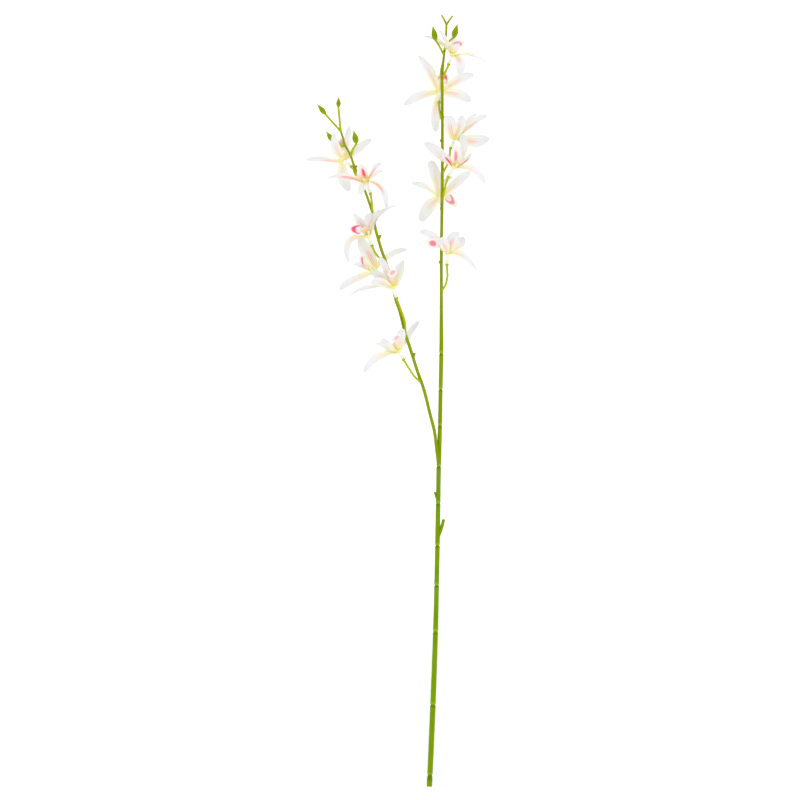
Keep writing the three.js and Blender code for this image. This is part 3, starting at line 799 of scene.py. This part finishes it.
# %% The table of blooms
BLOOMS = [
    {
        "name": "right_bloom_1",
        "way": [(442.6, 78, 36), (446, 71, 39.5), (449, 64, 42)],
        "face": (452.5, 55, 47),
        "petals": [
            Petal((491.5, 68, 48), 11, 3.6, half=(474, 57.3, 51), streak=1.0, pointed=True),
            Petal((459, 76, 68), 11, 10.5, half=(459.5, 63, 61), streak=0.9),
            Petal((436.5, 28.5, 59), 9, 5, half=(445, 42, 56), pointed=True),
            Petal((422.5, 37, 40), 7, 4, half=(438.5, 42.5, 42.8)),
            Petal((452, 31, 37), 9, 6, half=(453, 42, 40)),
        ],
        "lip": Lip((460.5, 41, 64), 12, rim=0.7, throat=0.0, hooded=True),
    },
    {
        "name": "right_bloom_2",
        "way": [(441.6, 120, 36), (439.4, 111, 35), (439, 102, 32)],
        "face": (440, 92, 25),
        "petals": [
            Petal((417.5, 55, 25), 11, 10, streak=0.6, pointed=True),
            Petal((404, 105, 23), 10, 9),
            Petal((436, 131.5, 21), 10.5, 10, half=(435.2, 112, 18), streak=0.6),
            Petal((471, 101, 2.2), 12, 10.5, streak=0.8),
            Petal((474, 75, 22), 11, 9, streak=0.7),
        ],
        "lip": Lip((446, 71, 14), 14, rim=0.6, spot=0.55),
    },
    {
        "name": "right_bloom_3",
        "way": [(442.6, 173, 36), (447, 165.5, 38.5), (449.6, 156, 40), (451, 147.5, 42)],
        "face": (455, 138, 48),
        "petals": [
            Petal((448.5, 116.5, 64), 14, 13, half=(449.5, 127, 64), streak=0.9),
            Petal((461.5, 116.5, 66), 10, 9, half=(459.5, 127, 62), streak=0.8),
            Petal((487, 116.5, 50), 10, 7, streak=0.9),
            Petal((477, 114, 32), 10, 6),
            Petal((489, 140, 50), 14, 13, half=(474, 142, 43), streak=0.8),
        ],
        "lip": Lip((450.5, 121, 45), 10, rim=0.7),
    },
    {
        "name": "right_bloom_4",
        "way": [(442.3, 201, 36), (445.5, 185, 39), (448.8, 176.3, 42)],
        "face": (454, 167, 48),
        "petals": [
            Petal((461, 135, 58), 10, 8.5, half=(462.5, 149.5, 48), streak=0.3),
            Petal((440.5, 155, 60), 9, 7, half=(447, 160, 56), streak=2.0),
            Petal((424, 143.5, 46), 12, 10.5, half=(439, 154.5, 45)),
            Petal((470.5, 153.5, 42), 8, 4.5, half=(466, 161.5, 44), streak=1.6),
            Petal((484, 184, 50), 12, 8, half=(472, 171, 52), streak=0.3),
        ],
        "lip": Lip((455, 145, 58), 11, tongue=0.75, throat=0.6, hooded=True),
    },
    {
        "name": "right_bloom_5",
        "way": [(441.9, 226, 36), (441.6, 217, 32.5), (441.5, 208, 29)],
        "face": (441, 197, 23),
        "petals": [
            Petal((430, 160.5, 23), 12, 11, streak=0.5),
            Petal((411.5, 183.5, 12), 9, 5.5, streak=0.3),
            Petal((421, 221.5, 12), 14, 13, streak=0.5),
            Petal((471, 172, 24), 11, 9.5, half=(456, 184.5, 27), streak=0.5),
            Petal((453, 176.5, 6), 9, 5, half=(441, 187, 7.5)),
        ],
        "lip": Lip((457, 207, 14), 10.5, rim=0.8),
    },
    {
        "name": "right_bloom_6",
        "way": [(441.4, 291, 34.4), (445.5, 285, 37), (447.5, 276, 39.5), (447, 263.8, 42)],
        "face": (447.5, 253, 48),
        "petals": [
            Petal((419.8, 231.8, 40), 11, 9, half=(432.5, 238, 44)),
            Petal((437.5, 240.5, 71), 11, 9, half=(443.3, 245, 70), streak=0.8),
            Petal((459.5, 234.5, 64), 13, 11.5, half=(452, 241.5, 62), streak=1.0),
            Petal((462, 236.5, 32), 11, 9, half=(459, 246, 36)),
            Petal((477.5, 272.5, 50), 10, 8, half=(463, 257, 52), streak=0.5, pointed=True),
        ],
        "lip": Lip((424.8, 242.5, 53), 12, spot=0.85),
    },
    {
        "name": "left_bloom_1",
        "way": [(359.6, 180, 36), (354.5, 173, 35.5), (350.9, 166.5, 35)],
        "face": (343, 160.5, 33),
        "petals": [
            Petal((306.5, 159.7, 33), 9, 5.5, half=(325, 160.5, 24), streak=1.0),
            Petal((334.5, 131, 54), 10.5, 9.5, half=(336.2, 147, 51), streak=0.7, pointed=True),
            Petal((349.5, 126.5, 20), 10, 7, half=(348, 143, 19), streak=0.6),
            Petal((371.5, 139, 24), 10.5, 8.5, half=(357.2, 150.5, 27)),
            Petal((349.5, 191, 16), 13, 12, streak=0.3),
        ],
        "lip": Lip((343.3, 137.5, 28), 9.5, spot=0.6, throat=0.5),
    },
    {
        "name": "left_bloom_2",
        "way": [(373, 216, 36), (372, 204, 39.5), (370, 193, 42)],
        "face": (366, 182, 48),
        "petals": [
            Petal((327, 178.5, 51), 10, 7, half=(345.5, 177.8, 53), streak=1.5, pointed=True),
            Petal((381.5, 165, 68), 9, 4.5, streak=1.4),
            Petal((385, 171.5, 34), 9, 5),
            Petal((386, 210, 54), 10, 7, half=(381, 189.5, 54), streak=1.4),
            Petal((361, 195.5, 70), 9, 8, streak=0.3),
        ],
        "lip": Lip((361, 164.5, 56), 12, tongue=1.0, hooded=True),
    },
    {
        "name": "left_bloom_3",
        "way": [(384.4, 259, 36), (379, 257.5, 36), (375, 252.5, 38), (371.7, 245, 41)],
        "face": (368, 236, 47),
        "petals": [
            Petal((352.8, 212.8, 54), 10, 9, half=(360, 224, 48), streak=1.2, pointed=True),
            Petal((369, 214, 60), 12, 11, half=(370, 224.5, 49), streak=0.7),
            Petal((380.5, 210.5, 60), 9, 5),
            Petal((397, 207, 48), 9, 4, half=(381.5, 214.5, 49), streak=0.3),
            Petal((349.3, 262.5, 46), 9, 7.5, half=(349.5, 243, 49)),
        ],
        "lip": Lip((348.5, 229.5, 60), 12, rim=1.0, spot=0.5),
    },
    {
        "name": "left_bloom_4",
        "way": [(391.4, 281, 36), (386.5, 279, 34), (382.5, 277, 32.5)],
        "face": (374.5, 270.5, 30),
        "petals": [
            Petal((359.5, 237, 31), 14, 13, half=(368, 252.8, 30), streak=1.0),
            Petal((339.3, 289.5, 26), 10, 8, half=(356, 279.5, 22)),
            Petal((353, 264, 1.3), 11, 7),
            Petal((407, 249.7, 22), 10, 6.5, half=(389, 256.5, 23)),
            Petal((381, 259, 5), 10, 6),
        ],
        "lip": Lip((359.5, 254.5, 6), 10, rim=0.9),
    },
    {
        "name": "left_bloom_5",
        "way": [(405.6, 336, 34.6), (404.7, 322, 39.5), (400.5, 309, 41.5), (396.3, 297.5, 43)],
        "face": (393, 287, 49),
        "petals": [
            Petal((379.5, 258, 58), 10, 7, streak=0.5),
            Petal((404, 260, 58), 12, 11, half=(399.5, 272, 51), pointed=True),
            Petal((371, 283, 72), 11, 9, streak=0.6),
            Petal((350, 295.8, 48), 9, 4, half=(371, 288, 50), streak=0.3),
            Petal((371.5, 272, 42), 10, 9, half=(380, 277.5, 47), streak=1.0),
        ],
        "lip": Lip((393.5, 268.5, 68), 11, spot=0.55),
    },
    {
        "name": "left_bloom_6",
        "way": [(420.6, 382, 30.6), (414, 376, 34), (409, 368.5, 37), (403, 359, 39)],
        "face": (398, 351, 42),
        "petals": [
            Petal((419, 321, 22), 10, 7, half=(407, 339, 24), streak=0.3),
            Petal((401.5, 329.5, 50), 12, 10, half=(401, 340, 43), streak=0.5),
            Petal((383.5, 338.5, 53), 12, 10, half=(386.5, 347, 50), streak=0.3),
            Petal((374.5, 344.5, 34), 9, 4, streak=0.2),
            Petal((364.5, 373, 45), 11, 8, half=(378, 358, 47), streak=0.3),
        ],
        "lip": Lip((398, 334, 68), 10, spot=0.45),
    },
]

print(len(BLOOMS), "blooms with", sum(len(b["petals"]) for b in BLOOMS), "petals")

# %% How a bloom opens
for bloom in BLOOMS:
    bloom["socket"] = place(bloom["way"][-1])
    bloom["middle"] = place(bloom["face"])
    bloom["opening"] = (bloom["middle"] - bloom["socket"]).normalized()

# %% [markdown]
# ## Pedicels
#
# Every bud and every bloom has a thin pedicel that swells a little where it leaves the stem. A
# bloom's one ends in a collar, cut square, that the bloom's tube is pushed on to.

# %% Pedicels with square collars, in drawing units
PEDICEL_RADIUS = 1.0
PEDICEL_SIDES = 12
COLLAR_RADIUS = 1.75
COLLAR_LENGTH = 2.4
COLLAR_PROFILE = [(0.0, 0.72), (0.12, 0.96), (0.2, 1.0), (0.9, 1.0), (1.0, 0.93)]
NECK_LENGTH = 0.5
PEDICEL_STEP = 1.0
SWELL = 0.3
SWELL_AT = 1.5
SWELL_WIDTH = 1.6
FOOT_SHARE = 0.45
FOOT_GROWTH = 0.4


def pedicel_stations(way):
    """Starts thin inside what bears it, swells where it comes out, then runs even."""
    stations, _ = smooth_line([(*spot, PEDICEL_RADIUS) for spot in way], PEDICEL_STEP)
    for station in stations:
        travelled = station["travelled"]
        swell = 1 + SWELL * bell(travelled - SWELL_AT, SWELL_WIDTH)
        station["radius"] *= swell * min(1.0, FOOT_SHARE + FOOT_GROWTH * travelled)
    return stations


def peg_stations(bloom):
    opening, end = bloom["opening"], bloom["socket"]
    stations = pedicel_stations(bloom["way"][:-1])
    neck = end - opening * (COLLAR_LENGTH + NECK_LENGTH) * UNIT
    stations.append({"at": neck, "radius": (PEDICEL_RADIUS + FULLER) * UNIT})
    for t, share in COLLAR_PROFILE:
        at = end - opening * COLLAR_LENGTH * UNIT * (1 - t)
        stations.append({"at": at, "radius": COLLAR_RADIUS * UNIT * share, "band": 0.5 - t})
    return stations


bm = bmesh.new()
for bloom in BLOOMS:
    rod(bm, peg_stations(bloom), PEDICEL_SIDES)
for way, _, _ in BUDS:
    rod(bm, pedicel_stations(way), PEDICEL_SIDES)
finish_piece("pedicels", bm, TWIG_GREEN, "stem", sharp=40)

# %% [markdown]
# ## Blades
#
# A petal and a lip are both blades: a flat grid that is bent along a spine, cupped across,
# rippled at its edges and then given its thickness. The grid keeps an across and an along
# value at each point for the print. The width is turned about the spine so that the wanted
# share of it shows from above, and the inner face turns to the side that the bloom opens to.

# %% The way across a blade
UP = Vector((0, 0, 1))


def squared(vector, axis):
    """The part of a vector that stands square to an axis, one long."""
    return (vector - axis * vector.dot(axis)).normalized()


def across_blade(root, tip, share, opening):
    chord = (tip - root).normalized()
    level = chord.cross(UP).normalized()
    steep = chord.cross(level)
    turn = math.acos(min(share, 1.0))
    best = None
    for angle in (turn, -turn):
        across = level * math.cos(angle) + steep * math.sin(angle)
        facing = across.cross(chord).dot(opening)
        if best is None or abs(facing) > abs(best[0]):
            best = (facing, across)
    return -best[1] if best[0] < 0 else best[1]


# %% A spine from root to tip
def spine_spot(spine, t):
    root, bend, tip = spine
    return root * (1 - t) ** 2 + bend * 2 * t * (1 - t) + tip * t * t


def spine_way(spine, t):
    root, bend, tip = spine
    return ((bend - root) * (1 - t) + (tip - bend) * t).normalized()


# %% A bent, cupped and rippled grid
CLOTH_THICK = 0.00062
OVER_TABLE = 0.0002
TIP_CROWD = 1.5
RIPPLES = 9.0
RIPPLE_SHIFT = 1.3
GROOVE_WIDTH = 0.13


def bent_spot(u, t, spine, across, look, phase, lean):
    """Where the grid's point goes that is u across the blade and t along it."""
    ahead = spine_way(spine, t)
    sideways = squared(across, ahead)
    inner = sideways.cross(ahead)
    reach = look["half"] * look["outline"](t)
    sway = lean * look["sway"] * math.sin(math.pi * t) * (0.4 + 0.6 * t)
    wave = math.sin(phase + t * RIPPLES + (RIPPLE_SHIFT if u > 0 else 0.0)) * abs(u) ** 3
    rise = u * u * look["cup"](t) * reach
    rise += wave * look["ripple"] * math.sin(math.pi * min(1, t * 1.1))
    rise -= look["groove"] * bell(u, GROOVE_WIDTH) * math.sin(math.pi * t)
    return spine_spot(spine, t) + sideways * (u * reach + sway) + inner * rise


def blade(bm, spine, across, look):
    layers = layers_of(bm)
    size = {"x_segments": look["columns"], "y_segments": look["rows"], "size": 1.0}
    sheet = bmesh.ops.create_grid(bm, **size)["verts"]
    dice = random.Random(look["seed"])
    phase, lean = dice.uniform(0, 6.28), dice.uniform(-1, 1)
    for vert in sheet:
        u, t = vert.co.x, 1 - ((1 - vert.co.y) / 2) ** TIP_CROWD
        vert.co = bent_spot(u, t, spine, across, look, phase, lean)
        vert.co.z = max(vert.co.z, CLOTH_THICK + OVER_TABLE)
        vert[layers["across"]] = u * look["outline"](t) if look["narrowing_print"] else u
        vert[layers["along"]] = t
        for name, strength in look["print"].items():
            vert[layers[name]] = strength
    thicken(bm, sheet)


# %% Thickness
def enclosed(faces):
    """The volume inside closed faces, which is below nothing where they point inwards."""
    start = faces[0].calc_center_median()
    return sum((f.calc_center_median() - start).dot(f.normal) * f.calc_area() / 3 for f in faces)


def thicken(bm, sheet):
    """Gives a sheet its two sides and its edge, and turns all their faces outwards."""
    faces = faces_at(sheet)
    thick = bmesh.ops.solidify(bm, geom=faces, thickness=CLOTH_THICK)["geom"]
    sides = faces + [g for g in thick if isinstance(g, bmesh.types.BMFace)]
    whole = faces_at([vert for face in sides for vert in face.verts])
    bmesh.ops.recalc_face_normals(bm, faces=whole)
    if enclosed(whole) < 0:
        bmesh.ops.reverse_faces(bm, faces=whole)


# %% Outlines of a petal and a lip
def petal_outline(t):
    """Widens from a narrow foot, then keeps its width up to a blunt, rounded end."""
    foot = 0.4 + 0.6 * math.sin(math.pi / 2 * min(t / 0.52, 1))
    past = max(0.0, (t * 0.995 - 0.53) / 0.47)
    return foot * math.sqrt(max(0.0, 1 - past**2.2))


def pointed_outline(t):
    """The same foot, with sides that run together to a point."""
    foot = 0.4 + 0.6 * math.sin(math.pi / 2 * min(t / 0.45, 1))
    past = max(0.0, (t * 0.99 - 0.4) / 0.6)
    return foot * max(0.0, 1 - past**1.8)


def lip_outline(t):
    """A claw, two side lobes, a slight waist and a broad middle lobe."""
    claw = 0.16 * max(0.0, 1 - t / 0.3)
    side_lobes = 0.74 * bell(t - 0.38, 0.17)
    past = max(0.0, (t * 0.995 - 0.62) / 0.38)
    middle_lobe = math.sqrt(max(0.0, 1 - past**2.4)) / (1 + math.exp(-(t - 0.55) / 0.05))
    return max(claw, 0.14 * (t < 0.9), side_lobes, middle_lobe)


# %% [markdown]
# ## Petals
#
# All petals of a bloom are set on a small disc in its middle, so they are one piece with it.
# Each starts at the side of the disc that it points to. One without a place halfway arches a
# little towards the side that the bloom opens to. The disc is a short, wide rod.

# %% The disc in the middle of a bloom
DISC_RADIUS = 0.004
DISC_SIDES = 20

# Millimetres in front of the bloom's middle, and the share of the radius there.
DISC_STATIONS = [
    (-1.36, 0.55), (-1.3, 0.72), (-0.9, 0.8), (0.4, 0.95), (0.9, 0.9), (1.15, 0.6), (1.25, 0.2)
]


def add_disc(bm, bloom):
    stations = []
    for depth, share in DISC_STATIONS:
        at = bloom["middle"] + bloom["opening"] * depth / 1000
        stations.append({"at": at, "radius": DISC_RADIUS * share, "along": 0.02})
    rod(bm, stations, DISC_SIDES)


# %% Petals of one bloom
ROOT_SHARE = 0.62
ROOT_DEPTH = 0.0006
ARCH = 0.1


def petal_spine(bloom, petal):
    """Root, bend and tip, with the bend set so that the spine runs through its halfway place."""
    middle, opening = bloom["middle"], bloom["opening"]
    tip, aim = place(petal.tip), place(petal.half or petal.tip)
    outward = squared((aim - middle).normalized(), opening)
    root = middle + outward * DISC_RADIUS * ROOT_SHARE - opening * ROOT_DEPTH
    if petal.half:
        halfway = aim
    else:
        halfway = root.lerp(tip, 0.5) + opening * (tip - root).length * ARCH
    return root, halfway * 2 - root * 0.5 - tip * 0.5, tip


def petal_look(petal, seed):
    return {
        "half": petal.width * UNIT / 2,
        "outline": pointed_outline if petal.pointed else petal_outline,
        "cup": lambda t: 0.3,
        "ripple": 0.0006,
        "groove": 0.0003,
        "sway": 0.0004,
        "print": {"streak": petal.streak},
        "narrowing_print": False,
        "seed": seed,
        "rows": 28,
        "columns": 10,
    }


for number, bloom in enumerate(BLOOMS):
    name = bloom["name"]
    bm = bmesh.new()
    add_disc(bm, bloom)
    for k, petal in enumerate(bloom["petals"]):
        spine = petal_spine(bloom, petal)
        shown = petal.shown / petal.width
        across = across_blade(spine[0], spine[-1], shown, bloom["opening"])
        blade(bm, spine, across, petal_look(petal, number * 10 + k))
    finish_piece(name + "_petals", bm, PETAL_CLOTH, name + "_tepals", sharp=70)

# %% [markdown]
# ## Columns, lips and tubes
#
# The column is a short cream horn with a rounded cap. The lip starts as a narrow claw beside
# it, then spreads into a cupped and ruffled blade. The tube flares from the pedicel's collar
# to the back of the bloom.

# %% The side of the bloom that the column stands on
LIP_SHOWN = 0.92


def lip_frame(bloom):
    """The way across the lip, and the way from the lip to the column."""
    middle, opening = bloom["middle"], bloom["opening"]
    tip = place(bloom["lip"].tip)
    across = across_blade(middle, tip, LIP_SHOWN, opening)
    inner = across.cross((tip - middle).normalized())
    sideways = squared((tip - middle).normalized(), opening)
    return across, squared(inner - sideways * 0.4, opening)


# %% Columns
COLUMN_OFFSET = 0.00175
COLUMN_LENGTH = 0.0062
COLUMN_RADIUS = 0.0015
COLUMN_LEAN = 0.0008
COLUMN_BOW = 0.0004
COLUMN_SIDES = 14
COLUMN_PROFILE = [
    (0.0, 0.75), (0.15, 0.8), (0.4, 0.9), (0.65, 1.08),
    (0.82, 1.15), (0.93, 0.9), (0.98, 0.5), (1.0, 0.15),
]


def column_stations(bloom):
    _, away = lip_frame(bloom)
    root = bloom["middle"] + away * COLUMN_OFFSET
    head = root + away * COLUMN_LEAN + bloom["opening"] * COLUMN_LENGTH
    stations = []
    for t, share in COLUMN_PROFILE:
        at = root.lerp(head, t) + away * COLUMN_BOW * math.sin(math.pi * t)
        stations.append({"at": at, "radius": COLUMN_RADIUS * share, "along": t})
    return stations


for bloom in BLOOMS:
    name = bloom["name"]
    bm = bmesh.new()
    rod(bm, column_stations(bloom), COLUMN_SIDES)
    finish_piece(name + "_column", bm, COLUMN_PLASTIC, name + "_tepals")


# %% Lips
LIP_PRINTS = ("rim", "spot", "tongue", "throat")
LIP_OVER_DISC = 0.0023
LIP_BESIDE_COLUMN = 0.00125
LIP_ARCH = 0.22
FIRST_LIP_SEED = 500


def lip_cup(t):
    return 0.2 + 0.6 * math.sin(math.pi * min(1.0, t * 1.15)) * (1 - 0.4 * t)


def lip_spine(bloom, away):
    opening = bloom["opening"]
    root = bloom["middle"] + opening * LIP_OVER_DISC - away * LIP_BESIDE_COLUMN
    tip = place(bloom["lip"].tip)
    return root, root + opening * (tip - root).length * LIP_ARCH, tip


def lip_look(lip, seed):
    return {
        "half": lip.width * UNIT / 2,
        "outline": petal_outline if lip.hooded else lip_outline,
        "cup": lip_cup,
        "ripple": 0.0009,
        "groove": -0.0003,
        "sway": 0.0,
        "print": {name: getattr(lip, name) for name in LIP_PRINTS},
        "narrowing_print": True,
        "seed": seed,
        "rows": 30,
        "columns": 18,
    }


for number, bloom in enumerate(BLOOMS):
    name = bloom["name"]
    across, away = lip_frame(bloom)
    bm = bmesh.new()
    blade(bm, lip_spine(bloom, away), across, lip_look(bloom["lip"], FIRST_LIP_SEED + number))
    finish_piece(name + "_lip_cloth", bm, LIP_CLOTH, name + "_lip", sharp=70)


# %% Tubes
TUBE_OFF_COLLAR = 0.00035
TUBE_OFF_MIDDLE = 0.00165
TUBE_SIDES = 18

# How far up the tube, and its radius there in drawing units.
TUBE_PROFILE = [
    (0.0, 1.55), (0.04, 1.7), (0.3, 1.78), (0.55, 1.95), (0.8, 2.25), (0.96, 2.55), (1.0, 2.45)
]


def tube_stations(bloom):
    start = bloom["socket"] + bloom["opening"] * TUBE_OFF_COLLAR
    end = bloom["middle"] - bloom["opening"] * TUBE_OFF_MIDDLE
    return [{"at": start.lerp(end, t), "radius": r * UNIT, "along": t} for t, r in TUBE_PROFILE]


for bloom in BLOOMS:
    name = bloom["name"]
    bm = bmesh.new()
    rod(bm, tube_stations(bloom), TUBE_SIDES)
    finish_piece(name + "_tube_skin", bm, TUBE_PLASTIC, name + "_tube", sharp=40)

# %% [markdown]
# ## Table, light and camera
#
# The stem lies on a near white table in soft, even light, so that it hardly throws a shadow.
# The camera hangs high above with a long lens, which keeps the picture as flat as a plan.

# %% Table
TABLE_SIDE = 8.0
TABLE_DROP = 0.0002
WHITE = (1, 1, 1, 1)
STEM_MIDDLE = Vector((0, 0.35, 0))

spot = STEM_MIDDLE - Vector((0, 0, TABLE_DROP))
bpy.ops.mesh.primitive_plane_add(size=TABLE_SIDE, location=spot)
table = bpy.context.object
table.name = "table_top"
paper, tree, skin = new_material("white_table")
fill(tree, skin, {"Base Color": hue("#F8F8F8"), "Roughness": 0.9})
fill(tree, skin, {"Emission Color": WHITE, "Emission Strength": 0.35})
table.data.materials.append(paper)
print("the table is", TABLE_SIDE, "m wide")

# %% Light
world = bpy.data.worlds.new("studio")
bpy.context.scene.world = world
world.use_nodes = True
sky = world.node_tree.nodes["Background"]
fill(world.node_tree, sky, {"Color": WHITE, "Strength": 0.92})


def soft_box(name, spot, size, power):
    light = bpy.data.lights.new(name, "AREA")
    light.shape = "SQUARE"
    light.size = size
    light.energy = power
    lamp = bpy.data.objects.new(name, light)
    lamp.location = spot
    lamp.rotation_euler = (STEM_MIDDLE - Vector(spot)).to_track_quat("-Z", "Y").to_euler()
    bpy.context.scene.collection.objects.link(lamp)
    print(name, "gives", power, "W")


soft_box("window_side", (1.6, 1.5, 2.2), 1.4, 9.0)
soft_box("fill_side", (-1.8, -0.4, 2.4), 1.8, 6.0)
bpy.context.scene.view_settings.view_transform = "Standard"

# %% Camera
FRAME_UNITS = 800
FRAME_MIDDLE = (400.0, 400.0, 25.0)
LENS = 400.0
SENSOR = 36.0

camera_data = bpy.data.cameras.new("plan_camera")
camera_data.lens = LENS
camera_data.sensor_width = SENSOR
camera_data.clip_end = 100.0
camera = bpy.data.objects.new("plan_camera", camera_data)
distance = FRAME_UNITS * UNIT * LENS / SENSOR
camera.location = place(FRAME_MIDDLE) + Vector((0, 0, distance))
bpy.context.scene.collection.objects.link(camera)
bpy.context.scene.camera = camera
print("the camera is", round(distance, 2), "m above the stem")
